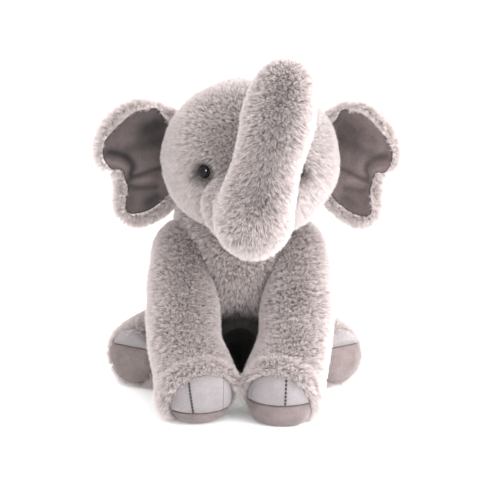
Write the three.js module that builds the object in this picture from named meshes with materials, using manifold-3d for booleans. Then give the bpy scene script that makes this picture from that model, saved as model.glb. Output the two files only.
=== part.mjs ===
// A seated stuffed elephant with its trunk raised: fur skins over stuffing, smooth ear linings,
// velvet soles with nail panels, and bead eyes held by washers.
// Millimetres, +Z up, the elephant faces -Y, and +X is its own left side.
import * as THREE from "three";
import { mergeVertices } from "three/addons/utils/BufferGeometryUtils.js";
import Module from "manifold-3d";

// Driving dimensions
const FUR_THICKNESS = 4; // fur fabric with its pile pressed down
const CLEAR = 0.4; // between pieces that touch
const FILLING_DEPTH = FUR_THICKNESS + 2 * CLEAR; // how far inside the outer form the stuffing ends
const TURN_CLEAR = 1.1; // between surfaces that turn on each other
// The most that a surface moves when its smallest facets are merged
const SIMPLER = 0.15;
const FILLING_SIMPLER = 0.35;
const ROUND = 16; // facets round a limb
const RISE = 5; // facets along a limb, between its rounded ends
const CAP = 3; // facets along each rounded end
// How the room for a limb differs from the limb: it starts slimmer, and is full size a little on.
const ROOM = { extra: 0.5, start: 0.9, near: 0.3, rise: 7 };

const HEAD = { at: [8, -8, 181], radius: 60 };
const NECK = { radius: 18, depth: 6.5, opening: 13 };
const TORSO = [
  { at: [0, 27, -16], r: [46, 44] },
  { at: [0, 25, 18], r: [57, 50] },
  { at: [0, 17, 52], r: [59, 53] },
  { at: [0, 6, 84], r: [55, 50] },
  { at: [0, 0, 108], r: [50, 43] },
  { at: [0, 0, 123], r: [42, 36] },
];
// At each root the fabric is open along a rod of this radius that points into the larger body.
const FRONT_SHOULDER = { at: [41, -6, 93], radius: 24.5, opening: 16, inwards: [0, 0, 96] };
const FRONT_LEG = [
  { at: [41, -6, 93], r: [24.5, 24.5] },
  { at: [43, -37, 79], r: [25, 25] },
  { at: [41, -68, 51], r: [25, 25] },
  { at: [31, -94, 25], r: [27, 27] },
];
const FRONT_FOOT = { at: [31, -94, 25], radius: 27 };
const HIP = { at: [42, 30, 29], radius: 28, opening: 18, inwards: [5, 36, 34] };
const HIND_LEG = [
  { at: [42, 30, 29], r: [28, 28] },
  { at: [56, 6, 28], r: [27, 27] },
  { at: [69, -14, 25], r: [26, 26] },
];
const HIND_FOOT = { at: [69, -14, 25], turn: 32, reach: 15, nailHeight: 33 };
// The sole's upper edge is higher at the toes. Its ends are before and behind the foot's middle.
const SOLE = { thickness: 4, frontEdge: 13, backEdge: 5, before: 40, behind: 26 };
// The nail panel is the foot's outer layer inside a dome, set forwards of and below the foot.
const NAIL_PANEL = { r: [24, 24, 27], forwards: 22, down: 13 };
const NAIL_LINE = { width: 1.1, raise: 0.7, sink: 1.2, apart: 18, low: 15, high: 36, front: -100 };

const TRUNK_ROOT = { at: [8, -57, 162], radius: 26, opening: 18, inwards: [8, -20, 180] };
const TRUNK_LOWER = [
  { at: [8, -57, 162], r: [26, 26] },
  { at: [8, -75, 155], r: [28.5, 28] },
  { at: [9, -91, 151], r: [30, 30] },
];
const TRUNK_BEND = { at: [11, -95, 160], radius: 27, opening: 18, inwards: [8, -82, 122] };
const TRUNK_UPPER = [
  { at: [11, -95, 160], r: [27, 27] },
  { at: [18, -98, 187], r: [27.5, 27.5] },
  { at: [25, -98, 213], r: [26.5, 26.5] },
  { at: [31, -95, 236], r: [24, 24] },
  { at: [34, -92, 249], r: [20.5, 20.5] },
];

const EAR = {
  reach: 52, // from the middle of the head to the seam, sideways
  back: 10, // from the middle of the head to the seam, backwards
  seam: [-25, 23], // the seam's ends, from the middle of the head
  rod: 4.6,
  thickness: 8,
  lining: 2.2,
  liningStart: 6.6, // from the seam
  rim: 5,
  edge: 1.4, // how far the rounded edge is drawn in
  flare: 8, // degrees
  root: { reach: 20, low: -45, high: 40 }, // the part that passes through the head's slit
};
// Ear outline: outwards from the middle of the head, and upwards from it.
const EAR_OUTLINE = [
  [52, -23],
  [52, 21],
  [62, 32],
  [75, 38],
  [90, 40],
  [105, 34],
  [115, 20],
  [118, 4],
  [114, -9],
  [104, -16],
  [104, -25],
  [107, -38],
  [103, -51],
  [90, -55],
  [74, -49],
  [61, -38],
];

const EYE = { across: 35, up: -4.5, bead: 5, dome: 4.4, shank: 1.6, length: 12, sunk: 1.5 };
const WASHER = { radius: 6.5, thickness: 1.4, bore: 2.1, dip: 0.8 };

const TAIL_ROOT = { at: [0, 66, 58], radius: 6.5 };
const TAIL = [
  { at: [0, 66, 58], r: [6.5, 6.5] },
  { at: [0, 79, 47], r: [5.4, 5.4] },
  { at: [0, 87, 31], r: [4.4, 4.4] },
];
const TAIL_TUFT = { at: [0, 89.9, 20], r: [7.5, 7.5, 12] };

// Angles, in degrees, from end to end of the travel that the sewn joints leave room for
const TRAVEL = {
  front_leg: [-30, -15, 0, 5],
  hind_leg: [-5, 0, 10, 20],
  trunk: [-4, 8, 20],
  trunk_bend: [-4, 10, 25],
  ear: [-30, 0, 25],
  tail: [-5, 0, 20, 40, 60],
};

const COLOURS = {
  fur: 0xb5aeac,
  lining: 0x8a7c79,
  sole: 0x968a87,
  nail: 0xc8bec3,
  thread: 0x141214,
  stuffing: 0xf2efe8,
  bead: 0x0b0a0b,
  washer: 0xe6e4df,
};

const wasm = await Module();
wasm.setup();
const { Manifold, Mesh } = wasm;

// A three.js geometry as a solid.
function solid(geometry) {
  const bare = geometry.clone();
  bare.deleteAttribute("normal");
  bare.deleteAttribute("uv");
  const merged = mergeVertices(bare, 1e-4);
  const made = new Manifold(
    new Mesh({
      numProp: 3,
      vertProperties: new Float32Array(merged.attributes.position.array),
      triVerts: new Uint32Array(merged.index.array),
    }),
  );
  if (made.volume() < 0) throw new Error("a solid is inside out");
  return made;
}

function ball(at, radius, round = ROUND, rise = ROUND / 2) {
  return solid(new THREE.SphereGeometry(radius, round, rise).translate(...at));
}

function ellipsoid(at, radii, grow = 0) {
  const [rx, ry, rz] = radii.map((r) => r + grow);
  return solid(new THREE.SphereGeometry(1, 14, 8).scale(rx, ry, rz).translate(...at));
}

function box(low, high) {
  const size = high.map((h, i) => h - low[i]);
  const middle = high.map((h, i) => (h + low[i]) / 2);
  return solid(new THREE.BoxGeometry(...size).translate(...middle));
}

// A round rod between two points.
function rod(from, to, radius, round = 16) {
  const a = new THREE.Vector3(...from);
  const b = new THREE.Vector3(...to);
  const along = b.clone().sub(a);
  const geometry = new THREE.CylinderGeometry(radius, radius, along.length(), round);
  const turn = new THREE.Quaternion().setFromUnitVectors(
    new THREE.Vector3(0, 1, 0),
    along.clone().normalize(),
  );
  const middle = a.add(b).multiplyScalar(0.5);
  return solid(geometry.applyQuaternion(turn).translate(middle.x, middle.y, middle.z));
}

// A rounded body that follows a centre line: a ball drawn out along the stations, and as wide as
// each of them says, across (first radius) and front to back (second radius).
function body(stations, grow = 0, round = ROUND, rise = RISE) {
  const line = new THREE.CatmullRomCurve3(stations.map((s) => new THREE.Vector3(...s.at)));
  const widths = new THREE.CatmullRomCurve3(
    stations.map((s) => new THREE.Vector3(s.r[0] + grow, s.r[1] + grow, 0)),
  );
  const geometry = new THREE.CapsuleGeometry(1, 2, CAP, round, rise);
  const position = geometry.attributes.position;
  const across = new THREE.Vector3(1, 0, 0);
  for (let i = 0; i < position.count; i++) {
    const [x, y, z] = [position.getX(i), position.getY(i), position.getZ(i)];
    const t = THREE.MathUtils.clamp((y + 1) / 2, 0, 1);
    const ahead = line.getTangent(t);
    const side = across.clone().addScaledVector(ahead, -across.dot(ahead)).normalize();
    const front = new THREE.Vector3().crossVectors(side, ahead);
    const width = widths.getPoint(t);
    const cap = y - THREE.MathUtils.clamp(y, -1, 1);
    const at = line
      .getPoint(t)
      .addScaledVector(side, x * width.x)
      .addScaledVector(front, z * width.y)
      .addScaledVector(ahead, cap * Math.min(width.x, width.y));
    position.setXYZ(i, at.x, at.y, at.z);
  }
  return solid(geometry);
}

function union(solids) {
  return solids.reduce((sum, next) => sum.add(next));
}

function subtractAll(from, cuts) {
  return cuts.reduce((left, cut) => left.subtract(cut), from);
}

// The solid turned about an axis (0, 1 or 2 for X, Y or Z) through a point.
function turned(shape, at, axis, degrees) {
  const angles = [0, 0, 0];
  angles[axis] = degrees;
  return shape
    .translate(at.map((v) => -v))
    .rotate(angles)
    .translate(at);
}

// The room that a solid sweeps through as it turns, from the angles it stops at.
function swept(shape, at, axis, stops) {
  return union(stops.map((degrees) => turned(shape, at, axis, degrees)));
}

const mirrored = (shape, side) => (side > 0 ? shape : shape.mirror([1, 0, 0]));
const mirrorPoint = ([x, y, z], side) => [x * side, y, z];

// The two bodies of fabric and filling inside one outer form. The fabric is open where the
// opening is, and the filling comes up through it to the outer form.
function skinAndStuffing(form, opening, openingLess) {
  const inner = form(-FUR_THICKNESS);
  const skin = form(0).subtract(inner).subtract(opening);
  const stuffing = form(-FILLING_DEPTH).add(form(0).intersect(openingLess));
  return { skin, stuffing };
}

const FAR = 400;
const aboveFloor = (shape, height = 0) =>
  shape.intersect(box([-FAR, -FAR, height], [FAR, FAR, FAR]));

// Outer forms, each larger or smaller by a given amount
const torsoForm = (grow) => aboveFloor(body(TORSO, grow), grow < 0 ? -grow : 0);
const headForm = (grow) => ball(HEAD.at, HEAD.radius + grow, 24, 14);

const frontLegForm = (grow) => aboveFloor(body(FRONT_LEG, grow), grow < 0 ? -grow : 0);

// A box that points along the hind foot, from one reach to another.
function alongHindFoot(from, to) {
  const slab = box([-FAR / 4, -to, -FAR / 4], [FAR / 4, -from, FAR / 4]);
  return slab.rotate([0, 0, HIND_FOOT.turn]).translate(HIND_FOOT.at);
}

function hindLegForm(grow) {
  const short = body(HIND_LEG, grow).subtract(alongHindFoot(HIND_FOOT.reach + grow, FAR / 4));
  return aboveFloor(short, grow < 0 ? -grow : 0);
}

const trunkLowerForm = (grow) => body(TRUNK_LOWER, grow);
const trunkUpperForm = (grow) => body(TRUNK_UPPER, grow);
const tailForm = (grow) => body(TAIL, grow, 12, 4);

// Room for each moving part: its root ball, which fills the same space at every angle, and the
// space that the rest of it sweeps
function room(root, [first, ...others], axis, stops) {
  const between = (a, b) => a.map((v, i) => v + (b[i] - v) * ROOM.near);
  const slimmer = { at: first.at, r: first.r.map((r) => r * ROOM.start) };
  const near = { at: between(first.at, others[0].at), r: between(first.r, others[0].r) };
  const rest = body([slimmer, near, ...others], TURN_CLEAR + ROOM.extra, ROUND, ROOM.rise);
  return ball(root.at, root.radius + TURN_CLEAR).add(swept(rest, root.at, axis, stops));
}
const headRoom = headForm(TURN_CLEAR);
const legRoom = room(FRONT_SHOULDER, FRONT_LEG, 0, TRAVEL.front_leg);
const hindRoom = room(HIP, HIND_LEG, 2, TRAVEL.hind_leg);
const tailRoom = room(TAIL_ROOT, TAIL, 0, TRAVEL.tail);
const trunkRoom = room(TRUNK_ROOT, TRUNK_LOWER, 0, TRAVEL.trunk);
const curlRoom = room(TRUNK_BEND, TRUNK_UPPER, 0, TRAVEL.trunk_bend);

const pieces = [];
function piece(name, shape, colour, roughness = 1, metalness = 0) {
  pieces.push({ name, shape, colour, roughness, metalness });
}

// Neck filling: a round pad under the head, in a pocket at the top of the torso
const neckAxis = [HEAD.at[0], HEAD.at[1]];
const neckTop = HEAD.at[2] - HEAD.radius;
function neckForm(grow) {
  const low = neckTop - NECK.depth - grow;
  return rod([...neckAxis, low], [...neckAxis, HEAD.at[2]], NECK.radius + grow, 24);
}
piece("neck_stuffing", neckForm(0).subtract(headRoom), COLOURS.stuffing);

// Torso
const torsoCuts = [headRoom, neckForm(TURN_CLEAR), tailRoom];
for (const side of [-1, 1]) {
  torsoCuts.push(mirrored(legRoom, side), mirrored(hindRoom, side));
}
const torsoSkin = torsoForm(0).subtract(torsoForm(-FUR_THICKNESS));
const torsoFilling = torsoForm(-FILLING_DEPTH);
piece("torso_skin", subtractAll(torsoSkin, torsoCuts), COLOURS.fur);
piece("torso_stuffing", subtractAll(torsoFilling, torsoCuts), COLOURS.stuffing);

// Eyes: a dome on a shank, pointing along +Y before they are set in the head
function eyeGeometry(grow) {
  const points = [new THREE.Vector2(0, -EYE.length - grow)];
  points.push(new THREE.Vector2(EYE.shank + grow, -EYE.length - grow));
  points.push(new THREE.Vector2(EYE.shank + grow, -grow));
  const steps = 4;
  for (let i = 0; i <= steps; i++) {
    const angle = (i / steps) * (Math.PI / 2);
    const across = i === steps ? 0 : (EYE.bead + grow) * Math.cos(angle);
    points.push(new THREE.Vector2(across, (EYE.dome + grow) * Math.sin(angle) - (i ? 0 : grow)));
  }
  return new THREE.LatheGeometry(points, 14);
}
function washerSolid(grow) {
  const depth = FUR_THICKNESS + CLEAR + WASHER.dip;
  const disc = rod(
    [0, -depth + grow, 0],
    [0, -depth - WASHER.thickness - grow, 0],
    WASHER.radius + grow,
    20,
  );
  return grow > 0 ? disc : disc.subtract(rod([0, 0, 0], [0, -2 * depth, 0], WASHER.bore));
}
// Sets a solid made at the origin, pointing along +Y, on the head's surface.
function onFace(shape, side, sink) {
  const depth = Math.sqrt(HEAD.radius ** 2 - EYE.across ** 2 - EYE.up ** 2);
  const out = new THREE.Vector3(EYE.across * side, -depth, EYE.up).normalize();
  const turn = new THREE.Matrix4().makeRotationFromQuaternion(
    new THREE.Quaternion().setFromUnitVectors(new THREE.Vector3(0, 1, 0), out),
  );
  const at = out.multiplyScalar(HEAD.radius - sink).add(new THREE.Vector3(...HEAD.at));
  return shape.transform(turn.setPosition(at).elements);
}

// Ears: flat pads with a rod along the sewn edge
function outlineShape(inset) {
  const flat = new THREE.Shape(
    new THREE.SplineCurve(EAR_OUTLINE.map(([u, w]) => new THREE.Vector2(u, w))).getPoints(30),
  );
  const points = flat.getPoints();
  const closed = points.map((p, i) => {
    const before = points[(i + points.length - 1) % points.length];
    const after = points[(i + 1) % points.length];
    const normal = new THREE.Vector2(after.y - before.y, before.x - after.x).normalize();
    return p.clone().addScaledVector(normal, inset);
  });
  return new THREE.Shape(closed);
}
// An ear-shaped slab between two depths, set by the seam; inset draws its edge inwards.
function earSlab(inset, front, back) {
  const geometry = new THREE.ExtrudeGeometry(outlineShape(inset), {
    depth: back - front,
    bevelEnabled: false,
    steps: 1,
  });
  return solid(geometry.rotateX(Math.PI / 2).translate(0, back, 0));
}
function setEar(shape, side) {
  const seam = [EAR.reach, EAR.back, 0];
  const flared = turned(shape.translate([0, EAR.back, 0]), seam, 2, -EAR.flare);
  return mirrored(flared, side).translate(HEAD.at);
}
const earSeam = (grow) =>
  rod(
    [EAR.reach, 0, EAR.seam[0] - grow],
    [EAR.reach, 0, EAR.seam[1] + grow],
    EAR.rod + grow,
    18,
  );
const half = EAR.thickness / 2;
const beyondSeam = (shift) =>
  box([EAR.reach + EAR.liningStart + shift, -FAR, -FAR], [FAR, FAR, FAR]);
function earBackSolid() {
  const middle = earSlab(0, -half + EAR.edge, half - EAR.edge);
  const pad = union([middle, earSlab(EAR.edge, -half, half)]);
  const hollow = earSlab(EAR.rim - CLEAR, -half - 1, -half + EAR.lining + CLEAR);
  return union([pad.subtract(hollow.intersect(beyondSeam(0))), earSeam(0)]);
}
function earLiningSolid() {
  return earSlab(EAR.rim, -half, -half + EAR.lining).intersect(beyondSeam(CLEAR));
}
function earRoom(side) {
  const { reach, low, high } = EAR.root;
  const deep = half + TURN_CLEAR;
  const slit = box([EAR.reach, -deep, low], [EAR.reach + reach, deep, high]);
  const swing = swept(slit, [EAR.reach, 0, 0], 2, TRAVEL.ear);
  return setEar(swing.add(earSeam(TURN_CLEAR)), side);
}

// Head
const headCuts = [trunkRoom];
for (const side of [-1, 1]) {
  headCuts.push(earRoom(side));
  headCuts.push(onFace(solid(eyeGeometry(CLEAR)), side, EYE.sunk));
}
const neckHole = (grow) =>
  rod([...neckAxis, HEAD.at[2]], [...neckAxis, 0], NECK.opening + grow, 20);
const head = skinAndStuffing(headForm, neckHole(0), neckHole(-CLEAR));
const washerRooms = [-1, 1].map((side) => onFace(washerSolid(CLEAR), side, 0));
piece("head_skin", subtractAll(head.skin, headCuts), COLOURS.fur);
piece(
  "head_stuffing",
  subtractAll(head.stuffing, [...headCuts, ...washerRooms]),
  COLOURS.stuffing,
);
for (const side of [-1, 1]) {
  const name = side > 0 ? "left" : "right";
  piece(`eye_${name}`, onFace(solid(eyeGeometry(0)), side, EYE.sunk), COLOURS.bead, 0.12);
  piece(`eye_washer_${name}`, onFace(washerSolid(0), side, 0), COLOURS.washer, 0.5);
  piece(`ear_back_${name}`, setEar(earBackSolid(), side), COLOURS.fur);
  piece(`ear_lining_${name}`, setEar(earLiningSolid(), side), COLOURS.lining, 0.7);
}

// The opening in a limb's fabric where its filling meets the larger body
const rootHole = (root, grow) => rod(root.at, root.inwards, root.opening + grow, 20);
const openAt = (form, root) => skinAndStuffing(form, rootHole(root, 0), rootHole(root, -CLEAR));

// Trunk
const lower = openAt(trunkLowerForm, TRUNK_ROOT);
piece("trunk_lower_skin", lower.skin.subtract(curlRoom), COLOURS.fur);
piece("trunk_lower_stuffing", lower.stuffing.subtract(curlRoom), COLOURS.stuffing);
const upper = openAt(trunkUpperForm, TRUNK_BEND);
piece("trunk_upper_skin", upper.skin, COLOURS.fur);
piece("trunk_upper_stuffing", upper.stuffing, COLOURS.stuffing);

// Feet: the sole is the lower part of the foot's outer layer and the nail panel its front
const footLayer = (form, thickness) => form(0).subtract(form(-thickness));
const [footX, footY, footZ] = FRONT_FOOT.at;
// Everything below a plane that rises towards the toes.
function soleRegion(shift) {
  const rise = SOLE.frontEdge - SOLE.backEdge;
  const slope = THREE.MathUtils.radToDeg(Math.atan2(rise, 2 * FRONT_FOOT.radius));
  const middle = (SOLE.frontEdge + SOLE.backEdge) / 2 + shift;
  return box([-FAR, -FAR, -FAR], [FAR, FAR, 0])
    .rotate([-slope, 0, 0])
    .translate([0, footY, middle]);
}
// The length of the foot that the sole covers.
const soleLength = (grow) =>
  box([-FAR, footY - SOLE.before, -FAR], [FAR, footY + SOLE.behind + grow, FAR]);
// The front of the foot above the sole.
function nailRegion(shift) {
  const radii = NAIL_PANEL.r.map((r) => r + shift);
  const dome = new THREE.SphereGeometry(1, 24, 14)
    .scale(...radii)
    .translate(footX, footY - NAIL_PANEL.forwards, footZ - NAIL_PANEL.down);
  return solid(dome).subtract(soleRegion(CLEAR - shift));
}
const foot = frontLegForm;
const soleLayer = footLayer(foot, SOLE.thickness);
const frontSole = soleLayer.intersect(soleRegion(0)).intersect(soleLength(0));
const frontSoleRoom = soleRegion(CLEAR).intersect(soleLength(CLEAR));
const nailPanel = soleLayer.intersect(nailRegion(0));
function nailLine(offset, grow) {
  const { width, raise, sink, low, high, front } = NAIL_LINE;
  const w = width / 2 + grow;
  const middle = footX + offset;
  const layer = foot(raise + grow).subtract(foot(-sink - grow));
  return layer.intersect(box([middle - w, -FAR, low - grow], [middle + w, front, high + grow]));
}
const front = openAt(foot, FRONT_SHOULDER);
const frontSkin = front.skin.subtract(frontSoleRoom).subtract(nailRegion(CLEAR));
const lines = { inner: -NAIL_LINE.apart / 2, outer: NAIL_LINE.apart / 2 };
for (const side of [-1, 1]) {
  const name = side > 0 ? "left" : "right";
  piece(`front_leg_skin_${name}`, mirrored(frontSkin, side), COLOURS.fur);
  piece(`front_leg_stuffing_${name}`, mirrored(front.stuffing, side), COLOURS.stuffing);
  piece(`front_sole_${name}`, mirrored(frontSole, side), COLOURS.sole, 0.9);
  let panel = nailPanel;
  for (const [which, offset] of Object.entries(lines)) {
    panel = panel.subtract(nailLine(offset, CLEAR));
    const line = mirrored(nailLine(offset, 0), side);
    piece(`front_nail_line_${which}_${name}`, line, COLOURS.thread, 0.8);
  }
  piece(`front_nail_panel_${name}`, mirrored(panel, side), COLOURS.nail, 0.9);
}

// Hind feet: a flat sole that faces forwards, with the nail panel at its top edge
const hind = openAt(hindLegForm, HIP);
const hindEnd = (grow) => alongHindFoot(HIND_FOOT.reach - SOLE.thickness - grow, FAR / 4);
const hindPlate = hindLegForm(0).intersect(hindEnd(0));
const hindUpper = aboveFloor(hindPlate, HIND_FOOT.nailHeight + CLEAR);
const hindLower = hindPlate.subtract(box([-FAR, -FAR, HIND_FOOT.nailHeight], [FAR, FAR, FAR]));
for (const side of [-1, 1]) {
  const name = side > 0 ? "left" : "right";
  const skin = hind.skin.subtract(hindEnd(CLEAR));
  const filling = hind.stuffing.subtract(hindEnd(CLEAR));
  piece(`hind_leg_skin_${name}`, mirrored(skin, side), COLOURS.fur);
  piece(`hind_leg_stuffing_${name}`, mirrored(filling, side), COLOURS.stuffing);
  piece(`hind_sole_${name}`, mirrored(hindLower, side), COLOURS.sole, 0.9);
  piece(`hind_nail_panel_${name}`, mirrored(hindUpper, side), COLOURS.nail, 0.9);
}

// Tail
const tuft = ellipsoid(TAIL_TUFT.at, TAIL_TUFT.r);
const tuftRoom = ellipsoid(TAIL_TUFT.at, TAIL_TUFT.r, CLEAR);
piece("tail_skin", tailForm(0).subtract(tuftRoom), COLOURS.fur);
piece("tail_tuft", tuft, COLOURS.fur);

// The row's origin is under the middle of the whole toy.
const ORIGIN_SHIFT = [-8, 14, 0];

// A solid as a named three.js mesh.
function meshOf({ name, shape, colour, roughness, metalness }) {
  const simpler = colour === COLOURS.stuffing ? FILLING_SIMPLER : SIMPLER;
  const plain = shape.simplify(simpler).translate(ORIGIN_SHIFT);
  const { numProp, vertProperties, triVerts } = plain.getMesh();
  if (numProp !== 3) throw new Error(`${name} has more than positions`);
  const geometry = new THREE.BufferGeometry();
  geometry.setAttribute("position", new THREE.BufferAttribute(vertProperties, 3));
  geometry.setIndex(new THREE.BufferAttribute(triVerts, 1));
  geometry.computeVertexNormals();
  const material = new THREE.MeshStandardMaterial({ color: colour, roughness, metalness });
  const mesh = new THREE.Mesh(geometry, material);
  mesh.name = name;
  return mesh;
}

const elephant = new THREE.Group();
elephant.name = "stuffed_elephant";
for (const made of pieces) {
  elephant.add(meshOf(made));
}

export default elephant;
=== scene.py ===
# Looks for the seated stuffed elephant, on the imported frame. Lengths are in millimetres until a
# mesh is made, and Blender's metres after that.
import math
import bpy
import bmesh
import numpy as np
from mathutils import Matrix, Vector, noise
from mathutils.bvhtree import BVHTree
from mathutils.geometry import delaunay_2d_cdt


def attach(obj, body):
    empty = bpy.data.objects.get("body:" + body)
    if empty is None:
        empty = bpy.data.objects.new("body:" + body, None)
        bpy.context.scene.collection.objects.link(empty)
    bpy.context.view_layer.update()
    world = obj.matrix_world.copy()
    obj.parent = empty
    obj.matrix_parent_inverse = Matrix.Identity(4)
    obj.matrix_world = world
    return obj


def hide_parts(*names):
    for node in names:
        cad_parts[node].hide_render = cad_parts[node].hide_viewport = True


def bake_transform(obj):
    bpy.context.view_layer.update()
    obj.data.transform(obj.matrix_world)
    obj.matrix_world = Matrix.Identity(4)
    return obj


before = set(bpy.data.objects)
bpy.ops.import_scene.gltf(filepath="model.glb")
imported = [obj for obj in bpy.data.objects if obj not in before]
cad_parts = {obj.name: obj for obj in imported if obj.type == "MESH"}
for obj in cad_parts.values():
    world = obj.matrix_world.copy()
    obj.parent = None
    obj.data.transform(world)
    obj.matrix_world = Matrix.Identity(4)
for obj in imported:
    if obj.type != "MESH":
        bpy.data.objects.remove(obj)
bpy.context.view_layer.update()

scene = bpy.context.scene

MM = 0.001
MID_X = -8.0  # the body's middle plane; the head sits a little to its left
NOWHERE = 1e9  # further than anything
PILE = 4.0  # the pile stands this far out of the cloth that it grows on
ROOM = 0.8 - PILE  # cloth is cut this far out of a neighbour's outer form
FLOOR_GAP = 0.5  # the lowest cloth stands this far above the floor
SEAM_GAP = 0.25  # each side of the seam between a nail panel and a sole
FAR = 200.0  # past the toy in any direction

# The toy's outer forms: places along each body, and its radii there
HEAD_TURN = np.array([0.0, 6.0, 181.0])
HEAD = (np.array([0.0, 6.0, 178.7]), np.array([64.5, 58.0, 60.0]))
MUZZLE = (np.array([-3.0, -47.0, 154.0]), np.array([32.0, 21.0, 28.0]))
TORSO = [
    ((-8, 41, -16), 46, 44),
    ((-8, 39, 18), 57, 50),
    ((-8, 31, 52), 59, 53),
    ((-8, 20, 84), 55, 50),
    ((-8, 15, 108), 54, 43),
    ((-8, 16, 124), 51, 36),
]
BELLY_HOLLOW = (np.array([-8.0, -20.0, 20.0]), np.array([27.0, 44.0, 41.0]))
FRONT_LEG = [
    ((38.5, 11, 104), 27, 27),
    ((43.0, -22, 79), 25.5, 25),
    ((41.0, -54, 51), 25.0, 24.5),
    ((31.2, -80, 25), 28.5, 27.5),
]
FRONT_FOOT = np.array([31.0, -80.0, 25.0])
# The nail panel and sole end on this dome, set inwards, forwards and down from the foot
FOOT_CAP = (np.array([-6.5, -22.0, -13.0]), np.array([26.5, 24.0, 27.0]))
# Each front foot is pressed flat on its sole: higher is squarer. The sole's upper edge differs too.
FOOT_PRESS = {1: 4.2, -1: 2.5}
SOLE_EDGE = {1: 17.0, -1: 10.5}
HIND_LEG = [((42, 44, 29), 28, 28), ((56, 20, 28), 27, 27), ((69, 0, 25), 26, 26)]
HIND_SPREAD = {1: 0.0, -1: 7.0}  # how much further out each hind foot lies
HIND_TURN = math.radians(32)  # the hind feet point this far outwards
HIND_REACH = 15.0  # from the last station to the flat sole
HIND_NAIL_HEIGHT = 33.0  # of the seam between sole and nail panel
# Nail lines, outwards from the foot's middle: the top and bottom of the outer one, then the inner
NAIL_LINES = {1: ((9.3, 8.1), (-16.4, -16.0)), -1: ((13.8, 9.2), (-12.9, -12.2))}
NAIL_THREAD = {"outer": 0.8, "inner": 0.28}
STITCH_GAP = {1: 0.5, -1: 0.12}
TRUNK_LOWER = [((0, -43, 161), 24, 24), ((1, -61, 154), 25, 25), ((2, -77, 149), 25.5, 25.5)]
TRUNK_UPPER = [
    ((4, -81, 160), 24.5, 24.5),
    ((9, -84, 186), 22.3, 22.3),
    ((16, -84, 210), 23.3, 23.3),
    ((20.5, -81, 231), 23.8, 23.8),
    ((23.5, -79, 245.5), 20.8, 20.8),
]
TAIL = [((-8, 80, 58), 6.5, 6.5), ((-8, 93, 47), 5.4, 5.4), ((-8, 101, 31), 4.4, 4.4)]
TUFT = (np.array([-8.0, 103.9, 20.0]), np.array([7.5, 7.5, 12.0]))
EAR_SEAM = (52.0, 16.0, 181.0)
EAR_FLARE = {"left": math.radians(22), "right": math.radians(8)}
EAR_INSET = {"left": 2.2, "right": 1.6}  # how far the cloth of each ear lies inside its furry edge
# Outlines, outwards from the head's middle and upwards from it
EAR_OUTLINE = [
    (52, -23), (52, 21), (62, 32), (75, 38), (89, 39.5), (101.5, 33), (113, 20), (118, 4),
    (114, -9), (104, -16), (102, -25), (103.5, -38), (99.5, -50.5), (88, -56), (73, -51.5), (59, -41),
]
LINING_OUTLINE = [
    (71, 33), (66, 26), (59, 16), (56, -12), (62, -32), (76, -44.5), (89.5, -48), (96, -45), (96, -35),
    (94.5, -28), (97, -19), (99, -13.5), (107, -12), (113, -2), (112, 9), (105, 18), (96, 26), (88, 31.5),
    (78, 33.5),
]
LINING_PAINTED_SHADE = {"left": 0.96, "right": 0.58}  # painted light and shade: the left lining is lit, the right one lies in painted shade
EYE = {"across": 35.0, "up": -4.5, "bead": 5.0, "dome": 4.4, "shank": 1.6, "length": 12.0, "sunk": 1.5}
EYE_SPHERE = 60.0  # the eyes sit on a sphere of this radius about the head's turning point
SIDES = {"left": 1, "right": -1}
# How far each part turns from rest, in steps, in degrees
FRONT_LEG_STOPS = (0, -15, -30)
HIND_LEG_STOPS = (0, 10, 20)
TAIL_STOPS = (0, 30, 60)
TRUNK_STOPS = (0, 9, 18)


def sided(stations, side, spread=0.0):
    """Leg stations on one side of the body, with the foot moved outwards by spread."""
    out = [spread * k / (len(stations) - 1) for k in range(len(stations))]
    return [((MID_X + side * (p[0] + o), p[1], p[2]), a, b) for (p, a, b), o in zip(stations, out)]


def spline(a, b, c, d, f):
    """A Catmull-Rom curve from b to c, at f from 0 to 1."""
    return 0.5 * (2 * b + (c - a) * f + (2 * a - 5 * b + 4 * c - d) * f**2 + (3 * b - a - 3 * c + d) * f**3)


def catmull(values, t):
    """Catmull-Rom through the rows of values, at t from 0 to 1."""
    v = np.asarray(values, float)
    v = np.vstack([2 * v[0] - v[1], v, 2 * v[-1] - v[-2]])
    n = len(v) - 3
    x = np.clip(t, 0, 1) * n
    i = np.minimum(x.astype(int), n - 1)
    return spline(v[i], v[i + 1], v[i + 2], v[i + 3], (x - i)[:, None])


def along(stations, t):
    """Points and radii of a body at t from 0 to 1."""
    return catmull([s[0] for s in stations], t), catmull([[s[1], s[2]] for s in stations], t)


def centre_line(stations, n=40):
    """Evenly spaced points and radii along a body."""
    return along(stations, np.linspace(0, 1, n))


def depth(points, stations):
    """How far points are outside a body; negative inside."""
    at, r = centre_line(stations, 48)
    best = np.full(len(points), NOWHERE)
    for c, (a, b) in zip(at, r):
        best = np.minimum(best, np.linalg.norm(points - c, axis=1) - (a + b) / 2)
    return best


def outside_ellipsoid(points, form):
    """How far points are outside an ellipsoid, roughly, in millimetres."""
    centre, radii = form
    scaled = np.sqrt((((points - centre) / radii) ** 2).sum(1))
    return (scaled - 1) * radii.min()


def path_distance(points, path):
    """How far points are from the nearest point of a path."""
    return np.min([np.linalg.norm(points - q, axis=1) for q in path], axis=0)


def ring_faces(rings, around, base=0):
    """The faces between rings of vertices, the first of which is number base."""
    faces = []
    for k in range(rings - 1):
        for j in range(around):
            a, b = base + k * around + j, base + k * around + (j + 1) % around
            faces.append((a, b, b + around, a + around))
    return faces


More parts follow.
